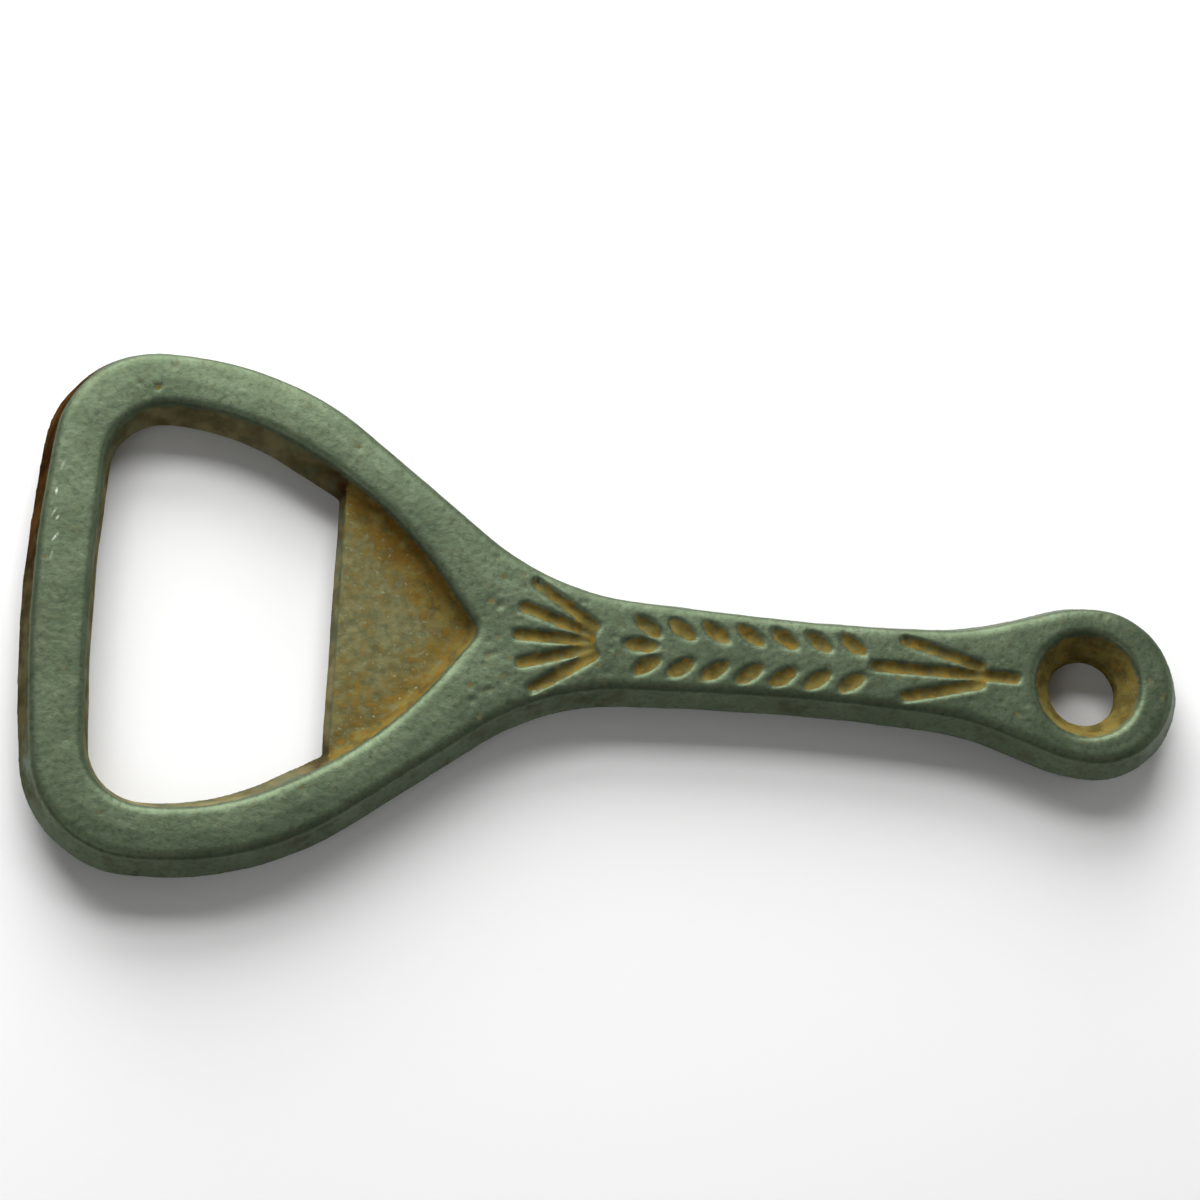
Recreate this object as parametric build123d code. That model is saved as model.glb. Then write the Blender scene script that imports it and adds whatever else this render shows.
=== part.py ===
from build123d import *
import math
import os

# Souvenir bottle opener: one iron casting, poured in a two-part mould.
# Millimetres. The opener lies on its back face: +X runs along the grip from the head
# to the eye, +Z is up through the engraved face, and the origin is at the middle of
# its footprint, on the back face.

TINY = 1e-4

# Overall size
LENGTH = 115.0
THICKNESS = 7.0
PARTING_Z = THICKNESS / 2

# Outline at the parting line, where the casting is widest. Each corner is
# (x, y, radius) on the +Y side. Arcs centred on the X axis close both ends.
HEAD_END_X = -LENGTH / 2
BAR_BOW_RADIUS = 125.0
EYE_RADIUS = 8.9
EYE_CENTRE_X = LENGTH / 2 - EYE_RADIUS
OUTLINE_CORNERS = [
    (-55.25, 26.65, 11.5),  # outer corner of the head
    (-32.8, 26.65, 33.0),  # crown of the arm
    (-5.6, 5.8, 25.0),  # waist, where the arms run into the grip
    (21.0, 4.75, 200.0),  # slimmest stretch of the grip
    (35.7, 5.4, 25.0),  # neck
    (45.4, 8.6, 14.0),  # shoulder of the eye
]
OUTER_DRAFT = 17.0  # degrees that the outer wall leans in towards each face
OUTER_EDGE_RADIUS = 1.0

# The wall round the opening and the recess, at the parting line and at each face. Both
# outlines have the same corners in the same order, and the last one is on the X axis.
OPENING_BOW_RADIUS = 180.0
PARTING_OPENING_X = -50.4
PARTING_OPENING = [
    (-49.6, 19.25, 5.5),  # inner corner of the head
    (-38.0, 19.25, 23.5),  # under the crown
    (-22.1, 10.2, 40.0),  # beside the web
    (-14.3, 0.0, 0.6),  # tip of the recess
]
FACE_OPENING_X = -51.0
FACE_OPENING = [
    (-50.3, 20.6, 6.5),
    (-36.7, 20.6, 27.0),
    (-21.3, 12.0, 42.0),
    (-12.6, 0.0, 1.9),
]
INNER_EDGE_RADIUS = 0.8

# Web between the arms. Its edge across the opening is the lip that lifts the cap.
WEB_THICKNESS = 2.2
LIP_X = -27.2
LIP_WALL_Y = 13.2  # where the lip meets the wall of the opening
LIP_BEVEL_DEPTH = 0.8
LIP_BEVEL_RUN = 0.65
WEB_FILLET = 1.6
WEB_ROOT = 2.0  # how far the web reaches into the arms

# Eye for hanging
HOLE_X = 47.85
HOLE_RADIUS = 3.4
HOLE_LAND = 1.8  # length of the straight stretch at mid-thickness
FLARE_RADIUS = 5.6
FLARE_EDGE_RADIUS = 0.6

# Engraved ear of barley on the front face. Its stem, leaves and awns are strokes with
# round ends. Its grains are spindles, pointed at both ends.
MARK_DEPTH = 0.5
STROKE_WIDTH = 1.1
STEM_START_X = 40.5
STEM_END_X = 26.5
LEAF_START_X = 37.0
LEAF_ROOT_Y = 0.9
LEAF_REACH = (7.5, 2.0)
GRAIN_PAIRS = 7
GRAIN_FIRST_X = 26.0
GRAIN_PITCH = 3.4
GRAIN_ROOT_Y = 0.7
GRAIN_REACH = (3.7, 2.5)
GRAIN_WIDTH = 1.6
TOP_GRAIN_LENGTH = 5.0
AWN_ROOT_X = 0.6
AWN_LENGTH = 9.6
AWN_GAP = 2.6  # from the top grain to the root of each awn
AWN_ANGLES = [-34.0, -17.0, 0.0, 17.0, 34.0]  # degrees from the -X direction


def touch_point(corner, centre_x, radius, side):
    """Point where the tangent from a corner touches a circle centred on the X axis."""
    dx = corner[0] - centre_x
    dy = corner[1]
    towards = math.atan2(dy, dx)
    turn = math.acos(radius / math.hypot(dx, dy))
    angle = towards + side * turn
    return (centre_x + radius * math.cos(angle), radius * math.sin(angle))


def mirrored(point):
    return (point[0], -point[1])


def outline_face():
    """Plan of the whole casting at the parting line."""
    corners = [(x, y) for x, y, radius in OUTLINE_CORNERS]
    radii = [radius for x, y, radius in OUTLINE_CORNERS]
    bar_centre_x = HEAD_END_X + BAR_BOW_RADIUS
    bar_end = touch_point(corners[0], bar_centre_x, BAR_BOW_RADIUS, 1)
    eye_end = touch_point(corners[-1], EYE_CENTRE_X, EYE_RADIUS, -1)
    upper = [bar_end] + corners + [eye_end]
    with BuildSketch() as sketch:
        with BuildLine():
            FilletPolyline(*upper, radius=radii)
            FilletPolyline(*[mirrored(point) for point in upper], radius=radii)
            ThreePointArc(bar_end, (HEAD_END_X, 0), mirrored(bar_end))
            ThreePointArc(eye_end, (LENGTH / 2, 0), mirrored(eye_end))
        make_face()
    return sketch.face()


def opening_face(corners, bow_x):
    """Plan of the opening and recess. Its far side bows outwards."""
    upper = [(x, y) for x, y, radius in corners]
    radii = [radius for x, y, radius in corners]
    bow_end = touch_point(upper[0], bow_x + OPENING_BOW_RADIUS, OPENING_BOW_RADIUS, 1)
    lower = [mirrored(point) for point in reversed(upper[:-1])]
    loop = [bow_end] + upper + lower + [mirrored(bow_end)]
    with BuildSketch() as sketch:
        with BuildLine():
            FilletPolyline(*loop, radius=radii + radii[-2::-1])
            ThreePointArc(bow_end, (bow_x, 0), mirrored(bow_end))
        make_face()
    return sketch.face()


def half_blank():
    """Upper half of the casting, without the web, the eye's hole or the engraving."""
    lean = PARTING_Z * math.tan(math.radians(OUTER_DRAFT))
    plan = outline_face()
    blank = loft(
        [Pos(0, 0, PARTING_Z) * plan, Pos(0, 0, THICKNESS) * offset(plan, -lean).face()],
        ruled=True,
    )
    opening = loft(
        [
            Pos(0, 0, PARTING_Z) * opening_face(PARTING_OPENING, PARTING_OPENING_X),
            Pos(0, 0, THICKNESS) * opening_face(FACE_OPENING, FACE_OPENING_X),
        ],
        ruled=True,
    )
    blank = blank - opening
    rim = blank.faces().sort_by(Axis.Z)[-1]
    blank = fillet(rim.outer_wire().edges(), OUTER_EDGE_RADIUS)
    rim = blank.faces().sort_by(Axis.Z)[-1]
    return fillet(rim.inner_wires()[0].edges(), INNER_EDGE_RADIUS)


def half_web():
    """Upper half of the web, with the slope that runs down to its lip."""
    top = PARTING_Z + WEB_THICKNESS / 2
    tip_x = FACE_OPENING[-1][0]
    root_y = LIP_WALL_Y + WEB_ROOT
    with BuildPart() as web:
        with BuildSketch(Plane.XZ.offset(-root_y)):
            with BuildLine():
                Polyline(
                    (LIP_X, PARTING_Z),
                    (LIP_X, top - LIP_BEVEL_DEPTH),
                    (LIP_X + LIP_BEVEL_RUN, top),
                    (tip_x + WEB_ROOT, top),
                    (tip_x + WEB_ROOT, PARTING_Z),
                    close=True,
                )
            make_face()
        extrude(amount=2 * root_y)
        with BuildSketch(Plane.XY):
            with BuildLine():
                Polyline(
                    (LIP_X, root_y),
                    (tip_x + WEB_ROOT, WEB_ROOT),
                    (tip_x + WEB_ROOT, -WEB_ROOT),
                    (LIP_X, -root_y),
                    close=True,
                )
            make_face()
        extrude(amount=THICKNESS, mode=Mode.INTERSECT)
    return web.part


def eye_hole():
    """Upper half of the space in the eye: a straight land, a flare and a soft rim."""
    land_end = PARTING_Z + HOLE_LAND / 2
    with BuildPart() as space:
        with BuildSketch(Plane.XZ):
            Polygon(
                (0, PARTING_Z),
                (HOLE_RADIUS, PARTING_Z),
                (HOLE_RADIUS, land_end),
                (FLARE_RADIUS, THICKNESS),
                (0, THICKNESS),
                align=None,
            )
        revolve(axis=Axis.Z)
    return Pos(HOLE_X, 0, 0) * space.part


def half_casting():
    """Everything above the parting line, with its soft cast edges."""
    web_top = PARTING_Z + WEB_THICKNESS / 2
    half = half_blank() + half_web()
    web_edges = half.edges().filter_by(lambda edge: abs(edge.center().Z - web_top) < TINY)
    wall_feet = web_edges.sort_by(Axis.X)[1:]  # all but the edge above the lip
    half = fillet(wall_feet, WEB_FILLET)
    half = half - eye_hole()
    rim = half.edges().filter_by(GeomType.CIRCLE)
    rim = rim.filter_by(lambda edge: abs(edge.center().Z - THICKNESS) < TINY)
    rim = rim.filter_by(lambda edge: abs(edge.radius - FLARE_RADIUS) < TINY)
    return fillet(rim, FLARE_EDGE_RADIUS)


def cutter(profile, start, end, width):
    """Turns half a profile into a cutter that lies MARK_DEPTH deep from start to end."""
    middle = ((start[0] + end[0]) / 2, (start[1] + end[1]) / 2)
    angle = math.degrees(math.atan2(end[1] - start[1], end[0] - start[0]))
    height = THICKNESS + width / 2 - MARK_DEPTH
    turned = revolve(Plane.XZ * make_face(profile), axis=Axis.X)
    return Pos(*middle, height) * Rot(0, 0, angle) * turned


def stroke(start, end):
    """Cutter for a groove of even width with round ends."""
    reach = math.dist(start, end) / 2
    radius = STROKE_WIDTH / 2
    cap = radius * math.sin(math.radians(45))
    profile = [
        ThreePointArc((-reach - radius, 0), (-reach - cap, cap), (-reach, radius)),
        Line((-reach, radius), (reach, radius)),
        ThreePointArc((reach, radius), (reach + cap, cap), (reach + radius, 0)),
        Line((reach + radius, 0), (-reach - radius, 0)),
    ]
    return cutter(profile, start, end, STROKE_WIDTH)


def grain(start, end):
    """Cutter for a grain of barley."""
    reach = math.dist(start, end) / 2
    profile = [
        ThreePointArc((-reach, 0), (0, GRAIN_WIDTH / 2), (reach, 0)),
        Line((reach, 0), (-reach, 0)),
    ]
    return cutter(profile, start, end, GRAIN_WIDTH)


def barley_ear():
    """All the carved marks: stem, two leaves, pairs of grains, a top grain and awns."""
    marks = [stroke((STEM_START_X, 0), (STEM_END_X, 0))]
    for side in (-1, 1):
        leaf_end = (LEAF_START_X - LEAF_REACH[0], side * (LEAF_ROOT_Y + LEAF_REACH[1]))
        marks.append(stroke((LEAF_START_X, side * LEAF_ROOT_Y), leaf_end))
        for number in range(GRAIN_PAIRS):
            root_x = GRAIN_FIRST_X - number * GRAIN_PITCH
            grain_end = (root_x - GRAIN_REACH[0], side * (GRAIN_ROOT_Y + GRAIN_REACH[1]))
            marks.append(grain((root_x, side * GRAIN_ROOT_Y), grain_end))
    marks.append(grain((AWN_ROOT_X + TOP_GRAIN_LENGTH, 0), (AWN_ROOT_X, 0)))
    for angle in AWN_ANGLES:
        direction = (-math.cos(math.radians(angle)), math.sin(math.radians(angle)))
        root = (AWN_ROOT_X + AWN_GAP * direction[0], AWN_GAP * direction[1])
        tip = (AWN_ROOT_X + AWN_LENGTH * direction[0], AWN_LENGTH * direction[1])
        marks.append(stroke(root, tip))
    return marks


def opener_casting():
    half = half_casting()
    whole = half + mirror(half, Plane.XY.offset(PARTING_Z))
    return whole - barley_ear()


os.makedirs("parts", exist_ok=True)
export_step(opener_casting(), "parts/opener_casting.step")
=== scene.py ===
import math

import bpy
import numpy as np
from mathutils import Matrix, Quaternion, Vector
from mathutils.kdtree import KDTree


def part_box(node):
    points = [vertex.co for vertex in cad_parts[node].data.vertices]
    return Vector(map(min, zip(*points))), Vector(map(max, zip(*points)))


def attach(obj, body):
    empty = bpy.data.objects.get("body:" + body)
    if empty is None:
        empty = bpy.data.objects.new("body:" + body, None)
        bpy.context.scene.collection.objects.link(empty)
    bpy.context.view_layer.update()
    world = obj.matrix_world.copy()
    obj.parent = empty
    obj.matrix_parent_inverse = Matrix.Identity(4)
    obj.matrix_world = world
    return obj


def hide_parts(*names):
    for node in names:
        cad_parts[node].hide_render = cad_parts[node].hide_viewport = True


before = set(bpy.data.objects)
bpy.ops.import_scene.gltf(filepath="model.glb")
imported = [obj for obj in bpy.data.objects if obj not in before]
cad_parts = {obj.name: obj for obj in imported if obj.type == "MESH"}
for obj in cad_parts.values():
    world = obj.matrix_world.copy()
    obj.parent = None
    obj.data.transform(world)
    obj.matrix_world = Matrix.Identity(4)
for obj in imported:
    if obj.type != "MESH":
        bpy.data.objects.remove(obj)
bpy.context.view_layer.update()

# The opener is one iron casting, so one piece replaces the one CAD node. Its skin is the
# CAD surface, remeshed evenly, then roughened, pitted, worn and stained as old cast iron.
# Surface work is done in millimetres, in the CAD frame, and written back in metres.

MM = 0.001
NODE = "opener_casting"
box_low, box_high = (np.array(corner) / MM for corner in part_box(NODE))
thickness = box_high[2]
parting_z = thickness / 2

# Places on the casting
EYE_X = 47.85
EYE_REACH = 5.7  # the flare and its soft rim
OPENING_MIDDLE_X = -36.0
LIP_X = -27.2
MARKS_FROM_X = -11.0
MARKS_TO_X = 41.5
WAIST_X = -6.0

# Scuffs on the far bar: x, y, angle in degrees, length, strength
KNOCKS = [
    (-54.6, 13.1, 70, 1.5, 0.25),
    (-55.0, 10.4, 86, 0.9, 0.8),
    (-55.1, 8.2, 64, 1.3, 0.4),
    (-54.7, 7.7, 55, 0.7, 0.6),
    (-54.8, 5.7, 56, 1.3, 0.9),
    (-55.0, 3.9, 80, 1.2, 0.35),
]
KNOCK_WIDTH = 0.34

VOXEL = 0.252
CROWN_DROP = 0.18  # how far each face falls towards its edges
CROWN_WIDTH = 4.6
BURR_HEIGHT = 0.05  # rims of the marks, and the room left for them under the CAD face
PARTING_RIDGE_WIDTH = 0.28
BLOWHOLE_X = -45.9
BLOWHOLE_Y = 22.0
FLOOR_REACH = 0.42  # metres from the middle to each side


# ---------------------------------------------------------------- the even skin


def even_skin():
    """Evenly meshed copy of the casting, pulled back onto the CAD surface."""
    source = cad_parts[NODE]
    piece = bpy.data.objects.new("iron_casting", source.data.copy())
    bpy.context.scene.collection.objects.link(piece)
    remesh = piece.modifiers.new("even_faces", "REMESH")
    remesh.mode = "VOXEL"
    remesh.voxel_size = VOXEL * MM
    wrap = piece.modifiers.new("onto_the_casting", "SHRINKWRAP")
    wrap.target = source
    graph = bpy.context.evaluated_depsgraph_get()
    skin = bpy.data.meshes.new_from_object(piece.evaluated_get(graph))
    piece.modifiers.clear()
    piece.data = skin
    skin.polygons.foreach_set("use_smooth", [True] * len(skin.polygons))
    return piece


class Surface:
    """The skin's points in millimetres, with what each point needs to know."""

    def __init__(self, mesh):
        self.mesh = mesh
        self.count = len(mesh.vertices)
        flat = np.empty(self.count * 3, np.float32)
        mesh.vertices.foreach_get("co", flat)
        self.points = flat.reshape(-1, 3).astype(float) / MM
        ends = np.empty(len(mesh.edges) * 2, np.int32)
        mesh.edges.foreach_get("vertices", ends)
        self.ends = ends.reshape(-1, 2)
        self.valence = np.bincount(self.ends.ravel(), minlength=self.count)

    def write(self):
        """Puts the points back in the mesh, inside the CAD box."""
        self.points = np.clip(self.points, box_low, box_high)
        self.mesh.vertices.foreach_set("co", (self.points * MM).astype(np.float32).ravel())
        self.mesh.update()

    def normals(self):
        self.write()
        flat = np.empty(self.count * 3, np.float32)
        self.mesh.vertex_normals.foreach_get("vector", flat)
        return flat.reshape(-1, 3).astype(float)

    def neighbour_mean(self, values):
        first, second = self.ends.T
        total = np.empty_like(values)
        for column in range(values.shape[1]):
            part = values[:, column]
            total[:, column] = np.bincount(first, part[second], self.count)
            total[:, column] += np.bincount(second, part[first], self.count)
        return total / self.valence[:, None]

    def smoothed(self, values, steps):
        """Values blurred over the surface. One step spreads them by half an edge."""
        blurred = values.reshape(self.count, -1).astype(float)
        for step in range(steps):
            blurred = (blurred + self.neighbour_mean(blurred)) / 2
        return blurred.reshape(values.shape)

    def store(self, name, values):
        attribute = self.mesh.attributes.new(name, "FLOAT", "POINT")
        attribute.data.foreach_set("value", np.clip(values, 0, 1).astype(np.float32))


def step_up(values, low, high):
    """Smooth step from 0 at low to 1 at high. It falls where low is above high."""
    share = np.clip((values - low) / (high - low), 0, 1)
    return share * share * (3 - 2 * share)


LATTICE = 48
TURN = np.array(Matrix.Rotation(0.7, 3, Vector((0.36, 0.48, 0.8))))


def lattice_noise(points, cell, seed):
    """Smooth noise from -1 to 1, with random values a cell apart on a turned lattice."""
    values = np.random.default_rng(seed).uniform(-1, 1, (LATTICE, LATTICE, LATTICE))
    place = points @ TURN.T / cell + 1000.0
    corner = np.floor(place).astype(int)
    share = place - corner
    share = share * share * (3 - 2 * share)
    total = np.zeros(len(points))
    for dx in (0, 1):
        for dy in (0, 1):
            for dz in (0, 1):
                weight = np.abs(1 - dx - share[:, 0])
                weight = weight * np.abs(1 - dy - share[:, 1])
                weight = weight * np.abs(1 - dz - share[:, 2])
                x, y, z = ((corner + (dx, dy, dz)) % LATTICE).T
                total += weight * values[x, y, z]
    return total


def search_tree(points):
    tree = KDTree(len(points))
    for number, point in enumerate(points):
        tree.insert(point, number)
    tree.balance()
    return tree


def distance_to(points, targets):
    """Distance from each point to the nearest target point."""
    tree = search_tree(targets)
    return np.array([tree.find(point)[2] for point in points])


# ---------------------------------------------------------------- regions


def find_regions(surface):
    """Shares from 0 to 1 that say which part of the casting each point belongs to."""
    x, y, z = surface.points.T
    normals = surface.normals()
    depth = np.minimum(z, thickness - z)
    flatness = np.abs(normals[:, 2])
    is_wall = (flatness < 0.5) & (depth > 0.9)
    edge_distance = distance_to(surface.points, surface.points[is_wall])

    to_middle = np.stack([OPENING_MIDDLE_X - x, -y], axis=1)
    faces_middle = np.einsum("ij,ij->i", normals[:, :2], to_middle) > 0
    in_head = x < MARKS_FROM_X
    eye_distance = np.hypot(x - EYE_X, y)
    in_front = z > parting_z
    marked = in_front & (x > MARKS_FROM_X) & (x < MARKS_TO_X)
    web = step_up(depth, 1.6, 2.2) * step_up(flatness, 0.6, 0.9) * in_head
    wall = step_up(depth, 0.35, 0.9) * (1 - web)
    return {
        "depth": depth,
        "flatness": flatness,
        "edge_distance": edge_distance,
        "face": step_up(depth, 0.16, 0.06) * step_up(flatness, 0.8, 0.95),
        "groove": marked * step_up(depth, 0.03, 0.22) * step_up(edge_distance, 1.2, 1.7),
        "web": web,
        "inner_wall": wall * (faces_middle & in_head),
        "outer_wall": wall * ~(faces_middle & in_head),
        "eye": step_up(eye_distance, EYE_REACH - 0.2, EYE_REACH - 0.9) * step_up(depth, 0.1, 0.5),
    }


# ---------------------------------------------------------------- shape of the skin


def soften(surface, regions):
    """Crowns the faces and rolls their edges off, as a worn sand casting has them."""
    surface.points = surface.smoothed(surface.points, 2)
    inset = np.clip(1 - regions["edge_distance"] / CROWN_WIDTH, 0, 1)
    drop = CROWN_DROP * inset**2 + BURR_HEIGHT
    top_share = step_up(regions["depth"], 0.9, 0.0)
    side = np.sign(surface.points[:, 2] - parting_z)
    surface.points[:, 2] -= side * drop * top_share


def raise_burrs(surface, regions):
    """Low rounded rims where cutting the marks pushed metal aside."""
    near = surface.smoothed(regions["groove"], 8) * (1 - regions["groove"])
    uneven = 0.6 + 0.4 * lattice_noise(surface.points, 1.7, 31)
    surface.points[:, 2] += BURR_HEIGHT * near * uneven * regions["face"]


def roughen(surface, regions):
    """Sand-cast unevenness, from broad waves down to the grain of the mould."""
    points = surface.points.copy()
    normals = surface.normals()
    coarse = np.clip(regions["web"] + 0.6 * regions["inner_wall"], 0, 1)
    coarse = np.maximum(coarse, 0.5 * regions["outer_wall"])
    coarse = np.maximum(coarse, 0.5 * regions["eye"])
    height = 0.07 * lattice_noise(points, 8.5, 1)
    height += 0.03 * lattice_noise(points, 3.1, 2)
    height += (0.009 + 0.02 * coarse) * lattice_noise(points, 1.3, 3)
    height += (0.007 + 0.028 * regions["web"]) * lattice_noise(points, 0.75, 4)
    height += 0.02 * coarse * lattice_noise(points, 0.5, 5)
    surface.points += normals * height[:, None]


def raise_parting_line(surface, regions):
    """Thin uneven ridge round the outside, where the two halves of the mould met."""
    x, y, z = surface.points.T
    normals = surface.normals()
    wander = 0.12 * lattice_noise(surface.points, 6.0, 41)
    ridge = np.exp(-(((z - parting_z - wander) / PARTING_RIDGE_WIDTH) ** 2))
    strength = 0.06 + 0.06 * lattice_noise(surface.points, 4.0, 42)
    height = (ridge * strength - 0.07) * regions["outer_wall"]
    surface.points += normals * height[:, None]


def press_dent(surface, tree, normals, centre, radius, depth, stretch=1.0, angle=0.0):
    """Round or long dent. Returns the points pressed and how deep, as a share."""
    along = np.array([math.cos(angle), math.sin(angle)])
    across = np.array([-along[1], along[0]])
    pressed = []
    for place, number, gap in tree.find_range(centre, radius * stretch):
        offset = surface.points[number, :2] - np.array(centre[:2])
        spread = math.hypot(offset @ along / stretch, offset @ across) / radius
        if spread < 1:
            share = (1 - spread * spread) ** 2
            surface.points[number] -= normals[number] * depth * share
            pressed.append((number, share))
    return pressed


def press_pits(surface, regions):
    """Casting pits, coarser at the waist. Returns how strongly each point is stained."""
    random = np.random.default_rng(77)
    normals = surface.normals()
    tree = search_tree(surface.points)
    on_face = np.flatnonzero(regions["face"] > 0.9)
    at_waist = on_face[np.abs(surface.points[on_face, 0] - WAIST_X) < 7.5]
    stain = np.zeros(surface.count)
    for group, amount, deepest in ((on_face, 230, 0.06), (at_waist, 140, 0.08)):
        for number in random.choice(group, amount, replace=False):
            radius = random.uniform(0.28, 0.55)
            depth = random.uniform(0.25, 1.0) * deepest
            for hit, share in press_dent(
                surface, tree, normals, surface.points[number], radius, depth
            ):
                stain[hit] = max(stain[hit], share * depth / deepest)
    blowhole = (BLOWHOLE_X, BLOWHOLE_Y, thickness)
    for hit, share in press_dent(surface, tree, normals, blowhole, 0.40, 0.22, 1.2, 1.2):
        stain[hit] = max(stain[hit], 2 * share)
    return stain


def shape_skin(piece):
    """Gives the skin its worn shape and stores what the material reads from it."""
    surface = Surface(piece.data)
    regions = find_regions(surface)
    soften(surface, regions)
    raise_burrs(surface, regions)
    raise_parting_line(surface, regions)
    roughen(surface, regions)
    stain = press_pits(surface, regions)
    surface.write()
    store_masks(surface, regions, stain)


def store_masks(surface, regions, stain):
    """Rust, wear and dirt, each from 0 to 1, for the material."""
    x, y, z = surface.points.T
    patches = lattice_noise(surface.points, 5.0, 51)
    small_patches = lattice_noise(surface.points, 1.9, 52)
    in_recess = (x > LIP_X + 0.6) & (x < MARKS_FROM_X)
    recess_wall = regions["inner_wall"] * in_recess
    steep = (recess_wall > 0.5) & (regions["flatness"] < 0.5)
    wall_distance = distance_to(surface.points, surface.points[steep])
    near_wall = np.exp(-np.clip(wall_distance - 1.2, 0, None) / 2.2)
    near_wall *= 0.6 + 0.4 * step_up(y, -3.0, 4.0)
    near_wall *= 1.0 - 0.4 * step_up(x, -20.0, -14.5)

    web_rust = 0.26 + 0.7 * near_wall + 0.2 * patches + 0.2 * small_patches
    recess_wall = recess_wall * step_up(regions["depth"], 0.15, 0.7)
    groove_rust = 0.9 + 0.1 * small_patches
    recess_rust = regions["web"] * web_rust + recess_wall * groove_rust
    ochre = np.maximum(recess_rust, regions["groove"] * groove_rust)
    ochre = np.maximum(ochre, regions["eye"] * groove_rust)
    ochre = np.maximum(ochre, 0.45 * stain)
    surface.store("ochre", ochre)

    far_bar = step_up(x, -46.0, -55.0) * step_up(y, -24.0, -6.0)
    # Brown rust on the inner walls; its colour there also holds painted bounce light
    inner = regions["inner_wall"] * (0.75 + 0.2 * patches + 0.1 * small_patches)
    outer = 0.16 + 0.84 * far_bar + 0.2 * patches + 0.1 * small_patches
    brown = np.maximum(inner, regions["outer_wall"] * outer)
    surface.store("brown", surface.smoothed(brown, 3) * (1 - regions["web"]))
    surface.store("outside", regions["outer_wall"])

    surface.store("coarse", np.maximum(regions["web"], 0.5 * regions["eye"]))
    red_rust = regions["outer_wall"] * far_bar * step_up(y, -6.0, 9.0)
    surface.store("red_rust", np.maximum(red_rust, near_wall))


# ---------------------------------------------------------------- material

PATINA_DARK = (0.082, 0.109, 0.066, 1)
PATINA_PALE = (0.102, 0.133, 0.082, 1)
PATINA_SPECKLE = (0.045, 0.058, 0.036, 1)
OLIVE_DARK = (0.112, 0.116, 0.057, 1)
OLIVE_PALE = (0.170, 0.161, 0.076, 1)
OCHRE_DARK = (0.088, 0.068, 0.020, 1)
OCHRE_PALE = (0.168, 0.134, 0.037, 1)
ORANGE_FLECKS = (0.180, 0.112, 0.020, 1)
FRESH_RUST = (0.140, 0.078, 0.014, 1)
# Rust on the inner walls, set lighter than the rust's own colour as painted bounce light
BROWN_PAINTED_BOUNCE_DARK = (0.090, 0.080, 0.036, 1)
BROWN_PAINTED_BOUNCE_PALE = (0.190, 0.164, 0.080, 1)
OUTSIDE_DARK = (0.045, 0.040, 0.018, 1)
OUTSIDE_PALE = (0.095, 0.082, 0.040, 1)
RED_DARK = (0.022, 0.010, 0.003, 1)
RED_PALE = (0.066, 0.030, 0.008, 1)
RUBBED_IRON = (0.17, 0.18, 0.11, 1)
SCUFFED_IRON = (0.40, 0.44, 0.36, 1)


def add_node(tree, kind, inputs=None, **settings):
    """Adds a node. An input's value is a constant or another node's output socket."""
    node = tree.nodes.new(kind)
    for name, value in settings.items():
        setattr(node, name, value)
    for name, value in (inputs or {}).items():
        if isinstance(value, bpy.types.NodeSocket):
            tree.links.new(value, node.inputs[name])
        else:
            node.inputs[name].default_value = value
    return node


def noise(tree, coordinates, size, detail=2.0, low=0.35, high=0.65):
    """Noise with features about size millimetres wide, spread to run from 0 to 1."""
    inputs = {"Vector": coordinates, "Scale": 1 / (size * MM), "Detail": detail}
    texture = add_node(tree, "ShaderNodeTexNoise", inputs)
    return remap(tree, texture.outputs["Fac"], low, high)


def remap(tree, value, low, high, new_low=0.0, new_high=1.0):
    inputs = {
        "Value": value,
        "From Min": low,
        "From Max": high,
        "To Min": new_low,
        "To Max": new_high,
    }
    node = add_node(tree, "ShaderNodeMapRange", inputs, interpolation_type="SMOOTHSTEP")
    return node.outputs["Result"]


def maths(tree, operation, first, second):
    node = add_node(tree, "ShaderNodeMath", {0: first, 1: second}, operation=operation)
    return node.outputs["Value"]


def mix_colours(tree, share, first, second):
    inputs = {0: share, 6: first, 7: second}
    node = add_node(tree, "ShaderNodeMix", inputs, data_type="RGBA")
    return node.outputs[2]


def mix_values(tree, share, first, second):
    inputs = {0: share, 2: first, 3: second}
    node = add_node(tree, "ShaderNodeMix", inputs, data_type="FLOAT")
    return node.outputs[0]


def mask(tree, name):
    return add_node(tree, "ShaderNodeAttribute", attribute_name=name).outputs["Fac"]


def patina_colour(tree, where):
    """Grey-green skin, mottled broadly and speckled finely."""
    broad = noise(tree, where, 5.0, 3.0)
    colour = mix_colours(tree, broad, PATINA_DARK, PATINA_PALE)
    speckle = noise(tree, where, 0.45, 3.0, 0.45, 0.75)
    dark = maths(tree, "MULTIPLY", speckle, 0.55)
    return mix_colours(tree, dark, colour, PATINA_SPECKLE)


def ochre_colour(tree, where):
    """Dusty rust, from dark brown through ochre to orange flecks."""
    broad = noise(tree, where, 1.7, 4.0)
    colour = mix_colours(tree, broad, OCHRE_DARK, OCHRE_PALE)
    flecks = noise(tree, where, 0.7, 3.0, 0.50, 0.75)
    colour = mix_colours(tree, flecks, colour, ORANGE_FLECKS)
    fresh = maths(tree, "MULTIPLY", noise(tree, where, 1.3, 3.0), mask(tree, "red_rust"))
    return mix_colours(tree, fresh, colour, FRESH_RUST)


def olive_colour(tree, where):
    """Thin dull rust over the patina where the mould left the iron coarse."""
    mottle = noise(tree, where, 0.9, 4.0)
    return mix_colours(tree, mottle, OLIVE_DARK, OLIVE_PALE)


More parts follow.
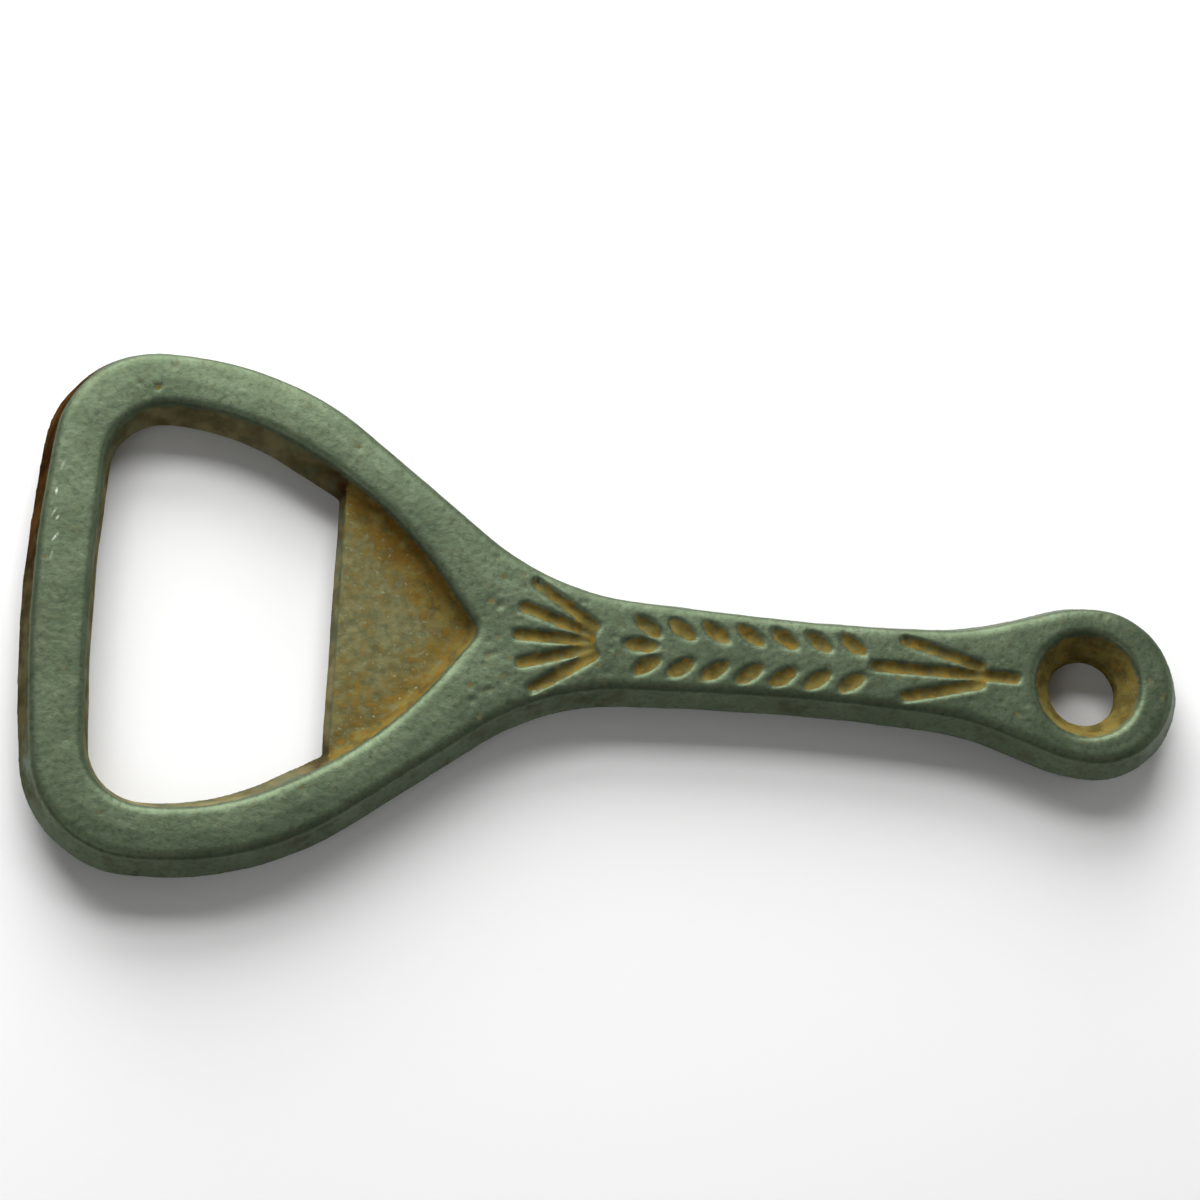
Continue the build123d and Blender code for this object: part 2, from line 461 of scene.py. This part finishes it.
def brown_colour(tree, where):
    """Thin rust on the walls, darker outside and redder round the far bar. The inner walls'
    colours are lighter than the rust's own, as painted bounce light.
    """
    broad = noise(tree, where, 2.4, 4.0)
    # Inner walls: brown rust lightened as painted bounce light
    olive = mix_colours(tree, broad, BROWN_PAINTED_BOUNCE_DARK, BROWN_PAINTED_BOUNCE_PALE)
    outside = mix_colours(tree, broad, OUTSIDE_DARK, OUTSIDE_PALE)
    olive = mix_colours(tree, mask(tree, "outside"), olive, outside)
    red = mix_colours(tree, broad, RED_DARK, RED_PALE)
    return mix_colours(tree, mask(tree, "red_rust"), olive, red)


def feathered(tree, where, amount, size, raggedness):
    """A mask from 0 to 1 whose soft border is broken up by noise."""
    ragged = noise(tree, where, size, 2.5, 0.25, 0.75)
    ragged = maths(tree, "MULTIPLY", maths(tree, "SUBTRACT", ragged, 0.5), 2.0)
    ragged = maths(tree, "MULTIPLY", ragged, raggedness)
    return remap(tree, maths(tree, "ADD", amount, ragged), 0.12, 0.88)


def knock_marks(tree, where):
    """Short bright scuffs along the far bar of the head."""
    total = 0.0
    for x, y, angle, length, strength in KNOCKS:
        place = {
            "Vector": where,
            "Location": (x * MM, y * MM, thickness * MM),
            "Rotation": (0, 0, math.radians(angle)),
            "Scale": (length / 2 * MM, KNOCK_WIDTH / 2 * MM, MM),
        }
        oval = add_node(tree, "ShaderNodeMapping", place, vector_type="TEXTURE")
        reach = add_node(
            tree, "ShaderNodeVectorMath", {0: oval.outputs["Vector"]}, operation="LENGTH"
        )
        mark = remap(tree, reach.outputs["Value"], 0.2, 1.1, strength, 0.0)
        total = maths(tree, "MAXIMUM", total, mark)
    return maths(tree, "MULTIPLY", total, noise(tree, where, 0.3, 2.0, 0.25, 0.5))


def iron_material():
    material = bpy.data.materials.new("cast_iron_aged")
    material.use_nodes = True
    tree = material.node_tree
    shader = tree.nodes["Principled BSDF"]
    where = add_node(tree, "ShaderNodeTexCoord").outputs["Object"]

    coarse = mask(tree, "coarse")
    raggedness = mix_values(tree, coarse, 0.30, 0.22)
    ochre = feathered(tree, where, mask(tree, "ochre"), 0.7, raggedness)
    brown = feathered(tree, where, mask(tree, "brown"), 1.6, 0.2)
    knocks = knock_marks(tree, where)
    stipple = noise(tree, where, 0.7, 0.5, 0.1, 0.9)
    rubbed = maths(tree, "MULTIPLY", noise(tree, where, 0.4, 1.0, 0.66, 0.76), coarse)

    colour = patina_colour(tree, where)
    colour = mix_colours(tree, coarse, colour, olive_colour(tree, where))
    colour = mix_colours(tree, brown, colour, brown_colour(tree, where))
    colour = mix_colours(tree, ochre, colour, ochre_colour(tree, where))
    colour = mix_colours(tree, rubbed, colour, RUBBED_IRON)
    colour = mix_colours(tree, knocks, colour, SCUFFED_IRON)
    tree.links.new(colour, shader.inputs["Base Color"])

    rusty = maths(tree, "MAXIMUM", ochre, brown)
    metal = mix_values(tree, coarse, 0.7, 0.05)
    metal = mix_values(tree, rusty, metal, 0.0)
    metal = mix_values(tree, rubbed, metal, 0.3)
    tree.links.new(metal, shader.inputs["Metallic"])
    shader.inputs["Specular IOR Level"].default_value = 0.0  # the gloss is the metal's own

    gloss_patches = noise(tree, where, 1.1, 4.0)
    roughness = mix_values(tree, gloss_patches, 0.41, 0.46)
    roughness = mix_values(tree, rusty, roughness, 0.8)
    roughness = mix_values(tree, coarse, roughness, 0.6)
    roughness = mix_values(tree, rubbed, roughness, 0.42)
    roughness = mix_values(tree, knocks, roughness, 0.35)
    tree.links.new(roughness, shader.inputs["Roughness"])

    grain = noise(tree, where, 0.22, 2.0, 0.2, 0.8)
    grain_height = mix_values(tree, coarse, 0.006, 0.014)
    stipple_height = mix_values(tree, coarse, 0.016, 0.05)
    height = maths(tree, "MULTIPLY", grain, grain_height)
    height = maths(tree, "ADD", height, maths(tree, "MULTIPLY", stipple, stipple_height))
    bump = add_node(tree, "ShaderNodeBump", {"Height": height, "Distance": MM, "Strength": 1.0})
    tree.links.new(bump.outputs["Normal"], shader.inputs["Normal"])
    return material


def make_casting():
    piece = even_skin()
    shape_skin(piece)
    piece.data.materials.clear()
    piece.data.materials.append(iron_material())
    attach(piece, "root")
    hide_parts(NODE)


# ---------------------------------------------------------------- camera and stage


def make_camera():
    """Long lens above the grip's near side, tilted and rolled a little."""
    target = Vector((-0.77, 5.29, 3.5)) * MM
    location = Vector((-69.57, -165.13, 549.38)) * MM
    lens = 175.0
    roll = math.radians(5.12)
    forward = (target - location).normalized()
    right = Vector((1, 0, 0))
    right = (right - forward * right.dot(forward)).normalized()
    right = Quaternion(forward, -roll) @ right
    up = right.cross(forward)
    data = bpy.data.cameras.new("camera")
    data.lens = lens
    data.sensor_width = 36.0
    data.clip_start = 0.01
    data.clip_end = 10.0
    camera = bpy.data.objects.new("camera", data)
    bpy.context.scene.collection.objects.link(camera)
    axes = Matrix((right, up, -forward)).transposed().to_4x4()
    camera.matrix_world = Matrix.Translation(location) @ axes
    bpy.context.scene.camera = camera


def make_floor():
    reach = FLOOR_REACH
    mesh = bpy.data.meshes.new("floor")
    corners = [(-reach, -reach, 0), (reach, -reach, 0), (reach, reach, 0), (-reach, reach, 0)]
    mesh.from_pydata(corners, [], [(0, 1, 2, 3)])
    floor = bpy.data.objects.new("floor", mesh)
    bpy.context.scene.collection.objects.link(floor)
    material = bpy.data.materials.new("floor")
    material.use_nodes = True
    shader = material.node_tree.nodes["Principled BSDF"]
    shader.inputs["Base Color"].default_value = (0.9, 0.9, 0.9, 1)
    shader.inputs["Roughness"].default_value = 0.9
    mesh.materials.append(material)


def add_panel(name, location, target, width, height, power):
    """A soft light panel aimed at a target, hidden from the camera itself."""
    data = bpy.data.lights.new(name, "AREA")
    data.shape = "RECTANGLE"
    data.size = width
    data.size_y = height
    data.energy = power
    light = bpy.data.objects.new(name, data)
    bpy.context.scene.collection.objects.link(light)
    light.location = Vector(location)
    aim = Vector(target) - light.location
    light.rotation_mode = "QUATERNION"
    light.rotation_quaternion = aim.to_track_quat("-Z", "Y")
    light.visible_camera = False


def make_world():
    """A pale room that adds only a little light of its own."""
    world = bpy.data.worlds.new("studio")
    world.use_nodes = True
    tree = world.node_tree
    seen = add_node(tree, "ShaderNodeLightPath").outputs["Is Camera Ray"]
    background = tree.nodes["Background"]
    background.inputs["Color"].default_value = (1, 1, 0.98, 1)
    tree.links.new(mix_values(tree, seen, 0.12, 0.85), background.inputs["Strength"])
    bpy.context.scene.world = world


def make_lights():
    add_panel("overhead", (-0.07, 0.20, 0.29), (-0.07, 0.20, 0.0), 0.32, 0.12, 0.9)
    add_panel("far_side", (-0.12, 0.50, 0.23), (0, 0, 0), 0.60, 0.40, 5.5)
    add_panel("right", (0.70, 0.10, 0.25), (0, 0, 0), 0.60, 0.40, 0.8)
    add_panel("near_side", (-0.35, -0.45, 0.65), (0, 0, 0), 0.40, 0.40, 0.8)
    bpy.context.scene.view_settings.view_transform = "Standard"


make_camera()
make_floor()
make_world()
make_lights()
make_casting()
